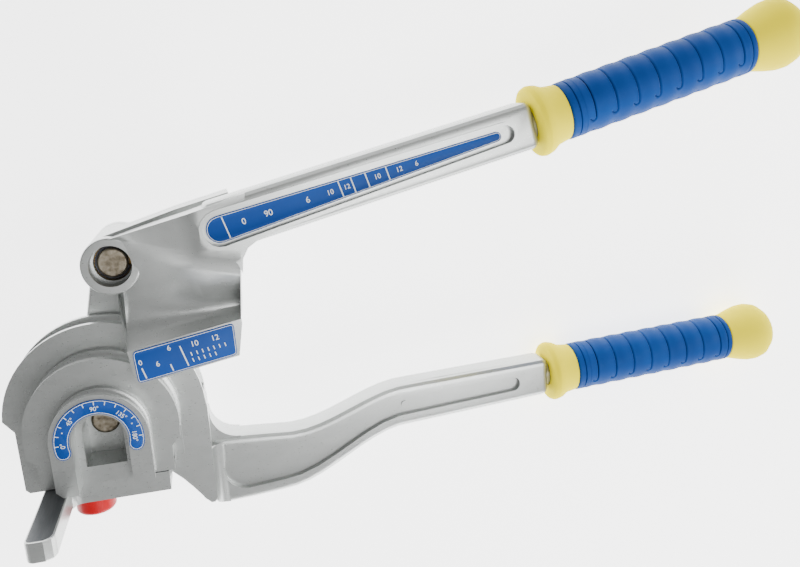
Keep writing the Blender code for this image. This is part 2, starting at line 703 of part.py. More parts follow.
def grip_core(name, start, direction):
    """Moulded inner grip with a flared collar and a bulb end, hollow for the tang."""
    bore = TANG_R + GAP
    flange, full = FLANGE_T, FLANGE_T + SLEEVE_L + CAP_L
    sleeve = FLANGE_T + SLEEVE_L
    profile = [(0, bore), (0, FLANGE_R - 2.2), (0.8, FLANGE_R - 0.6), (2.6, FLANGE_R),
               (5.4, FLANGE_R - 0.6), (8.5, FLANGE_R - 2.4), (flange - 0.4, GRIP_R - 0.2),
               (flange, GRIP_R - 0.2), (flange, CORE_R), (sleeve, CORE_R), (sleeve, GRIP_R - 0.4),
               (sleeve + 3, GRIP_R + 0.2), (sleeve + 8, CAP_R - 1.4), (sleeve + 13, CAP_R - 0.2),
               (sleeve + 17, CAP_R), (sleeve + 21, CAP_R - 1.0), (sleeve + 24.5, CAP_R - 3.8),
               (sleeve + 26.4, CAP_R - 7.6), (full, CAP_R - 12.0), (full, 0.8),
               (TANG_L + GAP, 0.8), (TANG_L + GAP, bore)]
    return finish_colour(pipe(name, profile, start, direction, 40), "grip_yellow", YELLOW, 0.0, 0.55)


def grip_sleeve(name, start, direction):
    """Soft sleeve between collar and bulb, swelling a little in the middle."""
    inner = CORE_R + GAP / 2
    a, b = FLANGE_T + GAP, FLANGE_T + SLEEVE_L - GAP
    outside = []
    steps = 12
    for i in range(steps + 1):
        t = i / steps
        outside.append((a + (b - a) * t, GRIP_R - 0.1 + 0.35 * math.sin(math.pi * t)))
    profile = [(a, inner)] + outside + [(b, inner)]
    return finish_colour(pipe(name, profile, start, direction, 40), "grip_blue", BLUE, 0.0, 0.6)


def low_grip_start():
    return (LOW_GRIP_X, bar_mid(LOW_GRIP_X), BAR_Z + BAR_T / 2)


def up_grip_start():
    return (*up_point(UP_GRIP_U, UP_SIDE), UP_Z + UP_T / 2)


def lever_side():
    """Outline of the lever that reaches forward, rounded at its far end."""
    right, far = LEVER_X1, FRONT_Z + LEVER_REACH
    return [(HOOK_X0, HOOK_Z0 + 1), (right, HOOK_Z0 + 1), (right, far - 4.4), (right - 1.0, far - 1.6),
            (right - 3.6, far), (HOOK_X0 + 2.4, far), (HOOK_X0 + 0.6, far - 0.8), (HOOK_X0, far - 2.6)]


def lever_corner():
    """Outline of the inside corner between the lever and the bar's front face."""
    right, front = LEVER_X1, HOOK_Z1
    return [(right - 1, front - 3), (right + 4.0, front - 3), (right + 4.0, front),
            (right + 1.4, front + 1.0), (right, front + 3.6), (right - 1, front + 3.6)]


def hook_bar():
    """Sliding bar under the wheels: T rail above, lever reaching forward on the left."""
    top, low = LEG_Y - GAP, LEG_Y - GAP - HOOK_T
    outline = [(HOOK_X0, low), (HOOK_X1, low), (HOOK_X1, top), (HOOK_X0, top)]
    bar = prism("hook_bar", outline, HOOK_Z0, HOOK_Z1)
    lever = loft("lever", [[(x, y, z) for x, z in lever_side()] for y in (low, top)])
    soften(lever, 0.8)
    corner = loft("corner", [[(x, y, z) for x, z in lever_corner()] for y in (low + 0.1, top - 0.1)])
    span = (RAIL_X0, RAIL_X1)
    neck = rail_box("neck", span, RAIL_W / 2, top - 1, LEG_Y + RAIL_H - 1)
    head = rail_box("head", span, RAIL_HEAD_W / 2, LEG_Y + RAIL_H - RAIL_HEAD_H, LEG_Y + RAIL_H)
    combine(bar, [lever, corner, neck, head])
    down, room = (0, -1, 0), PLUNGER_R + PLUNGER_RUN
    well = spun("well", [(0, SPRING_WELL_R), (HOOK_T - 1.5, SPRING_WELL_R)],
                (KNOB_X, top + 0.1, PLUNGER_Z), down, 28)
    bore = spun("bore", [(0, room), (HOOK_T + 2, room)], (KNOB_X, top + 1, PLUNGER_Z), down, 28)
    return finish_colour(cut(bar, [well, bore]), "cast_grey", GREY, 0.7, 0.45)


def plunger_pin():
    """Small plunger with a collar that its spring lifts."""
    top = LEG_Y - GAP
    length = HOOK_T + GAP + KNOB_T - 1.4
    profile = [(0, PLUNGER_R - 0.4), (0.2, PLUNGER_R), (0.2, PLUNGER_COLLAR_R), (1.0, PLUNGER_COLLAR_R),
               (1.0, PLUNGER_R), (length, PLUNGER_R)]
    pin = spun("plunger_pin", profile, (KNOB_X, top, PLUNGER_Z), (0, -1, 0), 24)
    return finish_colour(pin, "pin_steel", STEEL, 1.0, 0.35)


def plunger_spring():
    """Wire coil under the plunger's collar."""
    wire, turns, per_turn, around = 0.28, 3.5, 14, 6
    mean = SPRING_WELL_R - 0.55
    top = LEG_Y - GAP - 1.3 - wire
    length = HOOK_T - 1.4 - 1.3 - 2 * wire - 0.15
    steps = int(turns * per_turn)
    rings = []
    for i in range(steps + 1):
        a = 2 * math.pi * turns * i / steps
        out = Vector((math.cos(a), 0, math.sin(a)))
        centre = Vector((KNOB_X, top - length * i / steps, PLUNGER_Z)) + out * mean
        ring = []
        for j in range(around):
            b = 2 * math.pi * j / around
            ring.append(centre + (out * math.cos(b) + Vector((0, 1, 0)) * math.sin(b)) * wire)
        rings.append(ring)
    return finish_colour(loft("plunger_spring", rings), "spring_steel", DARK, 1.0, 0.4)


def hook_knob():
    """Red moulded button on the plunger's lower end."""
    top = LEG_Y - GAP - HOOK_T - GAP
    profile = [(0, PLUNGER_R + 0.02), (0, KNOB_R - 0.8), (0.6, KNOB_R), (KNOB_T - 1.6, KNOB_R),
               (KNOB_T - 0.5, KNOB_R - 0.8), (KNOB_T, KNOB_R - 2.4), (KNOB_T, 0.6), (KNOB_T - 1.2, 0.6),
               (KNOB_T - 1.2, PLUNGER_R + 0.02)]
    knob = pipe("hook_knob", profile, (KNOB_X, top, PLUNGER_Z), (0, -1, 0), 36)
    return finish_colour(knob, "knob_red", RED, 0.0, 0.4)


def build():
    fresh_scene()
    forming_handle()
    degree_scale()
    centre_bush()
    grip_core("lower_grip_core", low_grip_start(), low_direction())
    grip_sleeve("lower_grip_sleeve", low_grip_start(), low_direction())
    link = move_origin(link_arm(), (0, 0, LINK_Z))
    centre_pin()
    top_pin()
    top_clip()
    handle = move_origin(bending_handle(), (TOP.x, TOP.y, WHEEL_Z))
    top_bush()
    handle_scale()
    shoe_scale()
    grip_core("upper_grip_core", up_grip_start(), up_direction())
    grip_sleeve("upper_grip_sleeve", up_grip_start(), up_direction())
    hook_bar()
    plunger_pin()
    plunger_spring()
    hook_knob()
    return link, handle


build()
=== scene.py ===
"""Looks of a three-size lever tube bender lying on its back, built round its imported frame."""

import math

import bmesh
import bpy
import numpy as np
from mathutils import Matrix, Vector


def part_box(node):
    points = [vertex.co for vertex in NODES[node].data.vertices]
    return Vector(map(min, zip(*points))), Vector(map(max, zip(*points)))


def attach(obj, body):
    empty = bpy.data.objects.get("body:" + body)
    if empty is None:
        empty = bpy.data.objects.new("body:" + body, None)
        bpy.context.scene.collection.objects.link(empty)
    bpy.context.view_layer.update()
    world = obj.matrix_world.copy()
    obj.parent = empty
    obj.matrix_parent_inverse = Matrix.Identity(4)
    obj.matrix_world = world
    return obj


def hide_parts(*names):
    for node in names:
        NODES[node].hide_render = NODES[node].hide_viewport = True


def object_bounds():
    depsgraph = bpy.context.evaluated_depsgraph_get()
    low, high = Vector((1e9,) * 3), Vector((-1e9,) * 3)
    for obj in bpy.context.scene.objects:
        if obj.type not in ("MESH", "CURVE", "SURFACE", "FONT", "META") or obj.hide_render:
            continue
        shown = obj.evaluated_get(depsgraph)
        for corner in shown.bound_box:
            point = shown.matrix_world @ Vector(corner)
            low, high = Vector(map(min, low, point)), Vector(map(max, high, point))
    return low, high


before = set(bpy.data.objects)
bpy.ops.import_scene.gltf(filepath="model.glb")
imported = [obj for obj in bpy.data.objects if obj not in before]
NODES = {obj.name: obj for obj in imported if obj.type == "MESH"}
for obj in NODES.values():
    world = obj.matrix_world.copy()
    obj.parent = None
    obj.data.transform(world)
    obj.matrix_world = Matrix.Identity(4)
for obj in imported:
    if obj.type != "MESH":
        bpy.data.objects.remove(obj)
CAD_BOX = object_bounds()
MM = 0.001


# Forming handle. One aluminium casting with three stepped wheels, a web and an S-shaped bar.
# It is sprayed with a satin silver-grey paint, which rounds every edge a little.
CAST_EDGE = 0.55 * MM
NOISE_LOW, NOISE_HIGH = 0.3, 0.7
JOIN = 2e-6                          # metres, corners closer than this are one
FLAT_ANGLE = math.radians(0.6)       # faces flatter to each other than this are one
ROUND_ANGLE = math.radians(28)       # sharper edges are rounded
SHARP_ANGLE = math.radians(32)       # sharper edges are shaded as edges


def between(tree, fac, low, high):
    """Middle stretch of a noise value spread over low..high."""
    node = tree.nodes.new("ShaderNodeMapRange")
    node.inputs["From Min"].default_value = NOISE_LOW
    node.inputs["From Max"].default_value = NOISE_HIGH
    node.inputs["To Min"].default_value = low
    node.inputs["To Max"].default_value = high
    tree.links.new(fac, node.inputs["Value"])
    return node.outputs["Result"]


def two_tone(tree, fac, low, high):
    """Colour between two tones."""
    node = tree.nodes.new("ShaderNodeMix")
    node.data_type = "RGBA"
    node.inputs["A"].default_value = (*low, 1)
    node.inputs["B"].default_value = (*high, 1)
    tree.links.new(fac, node.inputs["Factor"])
    return node.outputs["Result"]


def surface_grain_group():
    """Shared by every finish: a coarse drift, a fine grain and its bumped normal."""
    group = bpy.data.node_groups.new("surface grain", "ShaderNodeTree")
    face = group.interface
    for name in ("Drift Scale", "Grain Scale", "Bump Strength", "Bump Distance"):
        face.new_socket(name, in_out="INPUT", socket_type="NodeSocketFloat")
    face.new_socket("Stretch", in_out="INPUT", socket_type="NodeSocketVector")
    face.new_socket("Drift", in_out="OUTPUT", socket_type="NodeSocketFloat")
    face.new_socket("Grain", in_out="OUTPUT", socket_type="NodeSocketFloat")
    face.new_socket("Normal", in_out="OUTPUT", socket_type="NodeSocketVector")
    inside = group.nodes.new("NodeGroupInput")
    outside = group.nodes.new("NodeGroupOutput")
    stretched = group.nodes.new("ShaderNodeVectorMath")
    stretched.operation = "MULTIPLY"
    group.links.new(group.nodes.new("ShaderNodeTexCoord").outputs["Object"], stretched.inputs[0])
    group.links.new(inside.outputs["Stretch"], stretched.inputs[1])
    for label, socket in (("Drift Scale", "Drift"), ("Grain Scale", "Grain")):
        node = group.nodes.new("ShaderNodeTexNoise")
        node.inputs["Detail"].default_value = 3.0
        group.links.new(stretched.outputs[0], node.inputs["Vector"])
        group.links.new(inside.outputs[label], node.inputs["Scale"])
        group.links.new(node.outputs["Fac"], outside.inputs[socket])
        if socket == "Grain":
            bump = group.nodes.new("ShaderNodeBump")
            group.links.new(node.outputs["Fac"], bump.inputs["Height"])
            group.links.new(inside.outputs["Bump Strength"], bump.inputs["Strength"])
            group.links.new(inside.outputs["Bump Distance"], bump.inputs["Distance"])
            group.links.new(bump.outputs["Normal"], outside.inputs["Normal"])
    return group


SURFACE_GRAIN = surface_grain_group()


def grained(name, low, high, metallic, rough_low, rough_high, drift, grain, bump, depth,
            specular=0.5, stretch=(1, 1, 1)):
    """Principled finish whose colour drifts between two tones and whose gloss follows its grain.

    Drift and grain are noise scales per metre, and depth is the grain's height in millimetres.
    """
    mat = bpy.data.materials.new(name)
    mat.use_nodes = True
    tree = mat.node_tree
    shader = tree.nodes["Principled BSDF"]
    grain_node = tree.nodes.new("ShaderNodeGroup")
    grain_node.node_tree = SURFACE_GRAIN
    grain_node.inputs["Drift Scale"].default_value = drift
    grain_node.inputs["Grain Scale"].default_value = grain
    grain_node.inputs["Bump Strength"].default_value = bump
    grain_node.inputs["Bump Distance"].default_value = depth * MM
    grain_node.inputs["Stretch"].default_value = stretch
    tree.links.new(two_tone(tree, between(tree, grain_node.outputs["Drift"], 0, 1), low, high),
                   shader.inputs["Base Color"])
    tree.links.new(between(tree, grain_node.outputs["Grain"], rough_low, rough_high),
                   shader.inputs["Roughness"])
    tree.links.new(grain_node.outputs["Normal"], shader.inputs["Normal"])
    shader.inputs["Metallic"].default_value = metallic
    shader.inputs["Specular IOR Level"].default_value = specular
    return mat


CAST_SILVER = grained("satin silver casting", (0.455, 0.47, 0.46), (0.49, 0.505, 0.495), 0.8, 0.27, 0.36,
                      drift=260, grain=2100, bump=0.04, depth=0.04, stretch=(0.4, 1, 1))


def placed(name, data):
    """New object in the scene, at the origin."""
    obj = bpy.data.objects.new(name, data)
    bpy.context.scene.collection.objects.link(obj)
    return obj


def settle(obj):
    """Modifiers applied: what is left is a plain mesh."""
    graph = bpy.context.evaluated_depsgraph_get()
    mesh = bpy.data.meshes.new_from_object(obj.evaluated_get(graph))
    obj.modifiers.clear()
    obj.data = mesh
    return obj


def from_cad(node, name, edge, finish, steps=2):
    """Copy of a CAD node with its flat faces joined and its edges rounded."""
    mesh = NODES[node].data.copy()
    bm = bmesh.new()
    bm.from_mesh(mesh)
    bmesh.ops.remove_doubles(bm, verts=bm.verts, dist=JOIN)
    bmesh.ops.dissolve_limit(bm, angle_limit=FLAT_ANGLE, verts=bm.verts, edges=bm.edges)
    bm.to_mesh(mesh)
    bm.free()
    obj = placed(name, mesh)
    mod = obj.modifiers.new("round", "BEVEL")
    mod.width = edge
    mod.segments = steps
    mod.limit_method = "ANGLE"
    mod.angle_limit = ROUND_ANGLE
    mod.miter_outer = "MITER_ARC"
    settle(obj)
    obj.data.shade_smooth()
    obj.data.set_sharp_from_angle(angle=SHARP_ANGLE)
    flat = obj.modifiers.new("weigh normals", "WEIGHTED_NORMAL")
    flat.weight = 100
    flat.keep_sharp = True
    settle(obj)
    obj.data.materials.clear()
    obj.data.materials.append(finish)
    return obj


def mount(obj, body, node):
    """Piece fixed to a moving body; it stands for a CAD node, or for none."""
    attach(obj, body)
    if node:
        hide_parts(node)


forming_handle = from_cad("forming_handle", "forming-handle", CAST_EDGE, CAST_SILVER)
mount(forming_handle, "forming", "forming_handle")


# Centre pin and the link's bush. The pin is plain turned steel with a brownish film, pressed in the
# casting, and its chamfered end shows in the pocket. The bush is bearing bronze, pressed in the link.
PIN_STEEL = grained("plain turned steel", (0.13, 0.105, 0.07), (0.40, 0.35, 0.27), 0.9, 0.3, 0.5,
                    drift=480, grain=2500, bump=0.12, depth=0.04)
BRONZE = grained("bearing bronze", (0.35, 0.22, 0.09), (0.45, 0.30, 0.13), 1.0, 0.32, 0.45,
                 drift=150, grain=2500, bump=0.1, depth=0.03)
PIN_EDGE, BUSH_EDGE = 0.25 * MM, 0.15 * MM
mount(from_cad("centre_pin", "centre-pin", PIN_EDGE, PIN_STEEL), "forming", "centre_pin")
mount(from_cad("centre_bush", "link-bush", BUSH_EDGE, BRONZE), "link", "centre_bush")


# Link arm and top pin. A flat cast link swings behind the wheels and carries the bending handle's
# pin, which is pressed in it. A dark spring-steel ring snaps in the pin's groove and keeps the handle on.
LINK_EDGE = 0.4 * MM
RING_STEEL = grained("dark spring steel", (0.03, 0.03, 0.035), (0.06, 0.06, 0.065), 0.8, 0.35, 0.5,
                     drift=200, grain=2500, bump=0.1, depth=0.03)
mount(from_cad("link_arm", "link-arm", LINK_EDGE, CAST_SILVER), "link", "link_arm")
mount(from_cad("top_pin", "top-pin", PIN_EDGE, PIN_STEEL), "link", "top_pin")
mount(from_cad("top_clip", "top-pin-ring", BUSH_EDGE, RING_STEEL), "link", "top_clip")
mount(from_cad("top_bush", "handle-bush", BUSH_EDGE, BRONZE), "bending", "top_bush")


# Bending handle. The second aluminium casting, in the same paint: a boss that swings on the top pin,
# three stepped shoes that press the tube, a sloped face and a straight bar with a long hollow.
bending_handle = from_cad("bending_handle", "bending-handle", CAST_EDGE, CAST_SILVER)
mount(bending_handle, "bending", "bending_handle")


# Hook bar, plunger, spring and button. The cast bar slides on its rail under the wheels, and its top is
# milled.
# Its up-facing faces are painted dark: a painted shadow for the gap under the wheels and a painted dark
# reflection on the lever's top.
# A steel plunger in a wire spring locks it, worked by a red moulded button.
HOOK_EDGE, SPRING_EDGE = 0.5 * MM, 0.02 * MM
FACING = 0.93                        # a face turned this far to an axis counts as facing it
BUTTON_RED = grained("moulded red plastic", (0.42, 0.0, 0.003), (0.50, 0.002, 0.006), 0.0, 0.3, 0.42,
                     drift=90, grain=1400, bump=0.06, depth=0.04, specular=0.3)
UP_FACE_PAINTED_SHADE = grained("painted shade on up faces", (0.05, 0.055, 0.06), (0.085, 0.09, 0.095), 0.8, 0.3, 0.42,
                      drift=330, grain=1900, bump=0.12, depth=0.04, stretch=(1, 1, 0.1))
hook_bar = from_cad("hook_bar", "hook-bar", HOOK_EDGE, CAST_SILVER, 3)
# Every face turned up gets the painted shade colour, which stands for the shadow in the gap under the
# wheels and the lever top's dark reflection.
hook_bar.data.materials.append(UP_FACE_PAINTED_SHADE)
for side in hook_bar.data.polygons:
    side.material_index = 1 if side.normal.y > FACING else 0
mount(hook_bar, "hook", "hook_bar")
plunger_spring = from_cad("plunger_spring", "plunger-spring", SPRING_EDGE, RING_STEEL)
mount(plunger_spring, "hook", "plunger_spring")
mount(from_cad("plunger_pin", "plunger", BUSH_EDGE, PIN_STEEL), "plunger", "plunger_pin")
mount(from_cad("hook_knob", "hook-button", HOOK_EDGE, BUTTON_RED), "plunger", "hook_knob")


# Scale labels. Printed blue film, 0.5 mm thick with rounded corners, glued on the wheel, the shoe and
# the bar. A thin white line near each edge is a painted highlight of the label's edge, in the ink's
# colour.
# White ink: marks every 15 degrees and plain numbers on the arc, and marks and tube sizes on the other
# two.
LABEL_BLUE = grained("printed blue film", (0.0, 0.05, 0.27), (0.0, 0.06, 0.31), 0.0, 0.42, 0.5,
                     drift=40, grain=1200, bump=0.03, depth=0.02, specular=0.2)
INK_WHITE = grained("white ink", (0.74, 0.78, 0.82), (0.84, 0.87, 0.90), 0.0, 0.5, 0.6,
                    drift=300, grain=2500, bump=0.03, depth=0.01, specular=0.2)
INK_T = 0.06 * MM
LABEL_EDGE = 0.08 * MM
# Inset and width of the painted edge highlight.
EDGE_HIGHLIGHT_IN, EDGE_HIGHLIGHT_W = 0.28 * MM, 0.22 * MM


def with_edge_highlight(node, name):
    """Label film with a painted highlight of its edge: a narrow ring of its own top face in white ink."""
    label = from_cad(node, name, LABEL_EDGE, LABEL_BLUE)
    label.data.materials.append(INK_WHITE)
    bm = bmesh.new()
    bm.from_mesh(label.data)
    face = max((f for f in bm.faces if f.normal.z > FACING), key=lambda f: f.calc_area())
    bmesh.ops.inset_individual(bm, faces=[face], thickness=EDGE_HIGHLIGHT_IN, use_even_offset=True)
    ring = bmesh.ops.inset_individual(bm, faces=[face], thickness=EDGE_HIGHLIGHT_W, use_even_offset=True)
    # This narrow ring is painted highlight along the label's edge.
    for side in ring["faces"]:
        side.material_index = 1
    bm.to_mesh(label.data)
    bm.free()
    return label


def marks_tree():
    """Bars set round an arc: each turned to point away from the centre."""
    tree = bpy.data.node_groups.new("arc marks", "GeometryNodeTree")
    face = tree.interface
    for name, kind in (("Count", "NodeSocketInt"), ("Radius", "NodeSocketFloat"),
                       ("First Angle", "NodeSocketFloat"), ("Step Angle", "NodeSocketFloat"),
                       ("Bar Size", "NodeSocketVector"), ("Finish", "NodeSocketMaterial")):
        face.new_socket(name, in_out="INPUT", socket_type=kind)
    face.new_socket("Geometry", in_out="OUTPUT", socket_type="NodeSocketGeometry")
    node, link = tree.nodes.new, tree.links.new
    given, out = node("NodeGroupInput"), node("NodeGroupOutput")

    def math_node(kind, a, b=None):
        step = node("ShaderNodeMath")
        step.operation = kind
        link(a, step.inputs[0])
        if b is not None:
            link(b, step.inputs[1])
        return step.outputs[0]

    angle = math_node("ADD", math_node("MULTIPLY", node("GeometryNodeInputIndex").outputs[0],
                                       given.outputs["Step Angle"]), given.outputs["First Angle"])
    place, turn = node("ShaderNodeCombineXYZ"), node("ShaderNodeCombineXYZ")
    link(math_node("MULTIPLY", math_node("COSINE", angle), given.outputs["Radius"]), place.inputs["X"])
    link(math_node("MULTIPLY", math_node("SINE", angle), given.outputs["Radius"]), place.inputs["Y"])
    link(angle, turn.inputs["Z"])
    row = node("GeometryNodeMeshLine")
    moved = node("GeometryNodeSetPosition")
    bar = node("GeometryNodeMeshCube")
    copies = node("GeometryNodeInstanceOnPoints")
    real = node("GeometryNodeRealizeInstances")
    paint = node("GeometryNodeSetMaterial")
    link(given.outputs["Count"], row.inputs["Count"])
    link(row.outputs["Mesh"], moved.inputs["Geometry"])
    link(place.outputs[0], moved.inputs["Position"])
    link(given.outputs["Bar Size"], bar.inputs["Size"])
    link(moved.outputs[0], copies.inputs["Points"])
    link(bar.outputs["Mesh"], copies.inputs["Instance"])
    link(turn.outputs[0], copies.inputs["Rotation"])
    link(copies.outputs[0], real.inputs[0])
    link(real.outputs[0], paint.inputs["Geometry"])
    link(given.outputs["Finish"], paint.inputs["Material"])
    link(paint.outputs[0], out.inputs[0])
    return tree


MARKS_TREE = marks_tree()


def arc_marks(name, count, radius, first, step, size):
    """Row of ink bars round an arc, made by the marks tree."""
    obj = placed(name, bpy.data.meshes.new(name))
    mod = obj.modifiers.new("marks", "NODES")
    mod.node_group = MARKS_TREE
    names = {s.name: s.identifier for s in MARKS_TREE.interface.items_tree if s.in_out == "INPUT"}
    for label, value in (("Count", count), ("Radius", radius), ("First Angle", first),
                         ("Step Angle", step), ("Bar Size", size), ("Finish", INK_WHITE)):
        mod[names[label]] = value
    return settle(obj)


FONT_SIZE, FONT_BOLD = 1.4, 0.012        # per height of a number


def number(text, height, at, turn):
    """Raised number, centred on a point and turned in its plane."""
    curve = bpy.data.curves.new("number", "FONT")
    curve.body = text
    curve.size = height * FONT_SIZE
    curve.align_x = "CENTER"
    curve.align_y = "CENTER"
    curve.extrude = INK_T / 2
    curve.offset = height * FONT_BOLD
    obj = placed("number-" + text, curve)
    mesh = bpy.data.meshes.new_from_object(obj.evaluated_get(bpy.context.evaluated_depsgraph_get()))
    bpy.data.objects.remove(obj)
    mesh.transform(Matrix.Translation(at) @ Matrix.Rotation(turn, 4, "Z"))
    return mesh


def bar_mark(at, along, length, width):
    """Thin ink bar centred on a point; `along` is its direction's angle."""
    bm = bmesh.new()
    bmesh.ops.create_cube(bm, size=1.0)
    size = Matrix.Diagonal((length, width, INK_T, 1))
    bm.transform(Matrix.Translation(at) @ Matrix.Rotation(along, 4, "Z") @ size)
    mesh = bpy.data.meshes.new("bar")
    bm.to_mesh(mesh)
    bm.free()
    return mesh


def ink(name, meshes, body):
    """All the ink of one label as one piece."""
    bm = bmesh.new()
    for mesh in meshes:
        bm.from_mesh(mesh)
    bmesh.ops.remove_doubles(bm, verts=bm.verts, dist=1e-7)
    mesh = bpy.data.meshes.new(name)
    bm.to_mesh(mesh)
    bm.free()
    mesh.materials.append(INK_WHITE)
    mount(placed(name, mesh), body, None)


mount(with_edge_highlight("degree_scale", "degree-scale"), "forming", "degree_scale")
arc_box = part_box("degree_scale")
arc_z = arc_box[1][2] + INK_T / 2
ARC_OUT = arc_box[1][1]
ARC_MARK, ARC_DOT = (1.5 * MM, 0.34 * MM, INK_T), (0.5 * MM, 0.5 * MM, INK_T)
MARK_IN, DOT_IN, NUMBER_IN, NUMBER_H = 1.35 * MM, 3.0 * MM, 3.7 * MM, 1.8 * MM
marks = arc_marks("degree marks", 13, ARC_OUT - MARK_IN, 0.0, math.radians(15), ARC_MARK)
dots = arc_marks("degree dots", 2, ARC_OUT - DOT_IN, math.radians(22.5), math.radians(135), ARC_DOT)
for printed in (marks, dots):
    printed.data.transform(Matrix.Translation((0, 0, arc_z)))
arc_ink = [marks.data, dots.data]
for degrees in (0, 45, 90, 135, 180):
    angle = math.radians(180 - degrees)
    at = Vector((math.cos(angle), math.sin(angle), 0)) * (ARC_OUT - NUMBER_IN) + Vector((0, 0, arc_z))
    arc_ink.append(number(f"{degrees}°", NUMBER_H, at, angle - math.pi / 2))
ink("degree-scale-ink", arc_ink, "forming")
for spare in (marks, dots):
    bpy.data.objects.remove(spare)

mount(with_edge_highlight("shoe_scale", "shoe-scale"), "bending", "shoe_scale")
mount(with_edge_highlight("handle_scale", "handle-scale"), "bending", "handle_scale")


def points_of(node):
    """Corners of a CAD node as rows of an array."""
    return np.array([v.co for v in NODES[node].data.vertices])


def label_frame(node):
    """Low left corner, directions along and across, size and top height of a flat label."""
    points = points_of(node)
    flat = points[:, :2] - points[:, :2].mean(axis=0)
    along = np.linalg.svd(flat, full_matrices=False)[2][0]
    along = along if along[0] > 0 else -along
    across = np.array((-along[1], along[0]))
    u, v = flat @ along, flat @ across
    centre = points[:, :2].mean(axis=0)
    corner = centre + along * u.min() + across * v.min()
    size = (u.max() - u.min(), v.max() - v.min())
    return corner, along, across, size, points[:, 2].max() + INK_T / 2


def on_label(node, share_u, share_v):
    """Point on a label at shares of its length and width."""
    corner, along, across, size, top = label_frame(node)
    at = corner + along * size[0] * share_u + across * size[1] * share_v
    return Vector((*at, top))


def lean_of(node):
    """Angle of a label's length in the wheels' plane."""
    along = label_frame(node)[1]
    return math.atan2(along[1], along[0])


# Each mark and number is placed at shares of its label's length and width; sizes are millimetres.
SHOE_LEAN = lean_of("shoe_scale")
SHOE_BARS = ((0.075, 0.26, 4.6, 0.55), (0.335, 0.2, 2.9, 0.5), (0.475, 0.44, 9.0, 0.55))
SHOE_NUMBERS = (("0", 2.1, 0.07, 0.60), ("6", 2.2, 0.22, 0.42), ("6", 2.2, 0.36, 0.80),
                ("10", 2.3, 0.60, 0.72), ("12", 2.3, 0.80, 0.72))
SHOE_ROWS = ((0.44, 7), (0.24, 5))
ROW_START, ROW_STEP, ROW_BAR = 0.545, 0.055, (1.6 * MM, 0.42 * MM)
shoe_bar_turn = SHOE_LEAN + math.radians(97)
shoe_ink = [bar_mark(on_label("shoe_scale", u, v), shoe_bar_turn, length * MM, width * MM)
            for u, v, length, width in SHOE_BARS]
shoe_ink += [number(text, height * MM, on_label("shoe_scale", u, v), SHOE_LEAN)
             for text, height, u, v in SHOE_NUMBERS]
for row, count in SHOE_ROWS:
    for column in range(count):
        at = on_label("shoe_scale", ROW_START + ROW_STEP * column, row)
        shoe_ink.append(bar_mark(at, shoe_bar_turn, *ROW_BAR))
ink("shoe-scale-ink", shoe_ink, "bending")

HANDLE_LEAN = lean_of("handle_scale")
HANDLE_BARS = ((0.062, 8.6), (0.44, 6.6), (0.482, 6.3), (0.53, 6.0), (0.60, 5.7))
HANDLE_BAR_W = 0.5 * MM
HANDLE_NUMBERS = ((0.12, "0", 2.4), (0.20, "90", 2.4), (0.33, "6", 2.4), (0.405, "10", 2.0),
                  (0.461, "12", 1.9), (0.565, "10", 2.0), (0.64, "12", 2.0), (0.70, "6", 2.0))
handle_bar_turn = HANDLE_LEAN + math.radians(94)
handle_ink = [bar_mark(on_label("handle_scale", share, 0.5), handle_bar_turn, length * MM, HANDLE_BAR_W)
              for share, length in HANDLE_BARS]
handle_ink += [number(text, height * MM, on_label("handle_scale", share, 0.5), HANDLE_LEAN)
               for share, text, height in HANDLE_NUMBERS]
ink("handle-scale-ink", handle_ink, "bending")


# Grips. A moulded yellow core, 30 mm over its flared collar and bulb end, is pushed on each tang.
# A soft blue sleeve lies between collar and bulb, with a ring cut near each end and hooked grooves
# 0.7 mm deep between them.
GRIP_YELLOW = grained("moulded yellow plastic", (0.92, 0.76, 0.0), (0.96, 0.81, 0.002), 0.0, 0.55, 0.65,
                      drift=35, grain=1300, bump=0.08, depth=0.05, specular=0.05)
GRIP_BLUE = grained("soft blue sleeve", (0.0, 0.042, 0.21), (0.0, 0.052, 0.25), 0.0, 0.5, 0.62,
                    drift=45, grain=1700, bump=0.15, depth=0.06, specular=0.12)
# Darker blue for the groove floors: painted shade in the grooves, not a colour of the sleeve.
GROOVE_PAINTED_SHADE = grained("painted groove shade blue", (0.0, 0.014, 0.08), (0.0, 0.02, 0.10), 0.0, 0.7, 0.8,
                    drift=45, grain=1700, bump=0.1, depth=0.06, specular=0.1)
GRIP_EDGE = 0.4 * MM
GROOVE_W, GROOVE_D = 0.42 * MM, 0.7 * MM
RING_FIRST, RING_LAST, RING_SHALLOWER = 3.4 * MM, 2.6 * MM, 0.12 * MM
HOOKS, HOOK_R, HOOK_FIRST = 8, 1.4 * MM, 10.0 * MM
HOOK_TIP = 1.2                       # how far a hook curls, per radius
HOOK_FREE = 17.0 * MM                # of the sleeve's length, both ends together
FRONT_TOP, FRONT_END = 20.0 * MM, -5.5 * MM        # a groove's run round the front
BACK_TOP, BACK_END = -12.5 * MM, -20.0 * MM        # and round the underside
SWELL = 0.18 * MM                    # each pad between two grooves
SWELL_FIRST, SWELL_LAST = 6.0 * MM, 4.0 * MM
END_DROP, END_LENGTH = 0.5 * MM, 0.35 * MM
GROOVE_SHADE_SHARE = 0.45                    # of the groove's depth, below which its floor gets the painted groove shade
ROWS, AROUND = 400, 216


def axis_of(node):
    """Start, unit direction and length of a turned node, from its own mesh."""
    points = points_of(node)
    along = np.linalg.svd(points - points.mean(axis=0), full_matrices=False)[2][0]
    along = along if along[0] > 0 else -along
    reach = (points - points.mean(axis=0)) @ along
    near, far = reach < reach.min() + 0.05 * MM, reach > reach.max() - 0.05 * MM
    start, end = points[near].mean(axis=0), points[far].mean(axis=0)
    length = float(np.linalg.norm(end - start))
    return start, (end - start) / length, length


def hook_pitch(span):
    """Distance between two hooked grooves on a sleeve of a given length."""
    return (span - HOOK_FREE) / (HOOKS - 1)


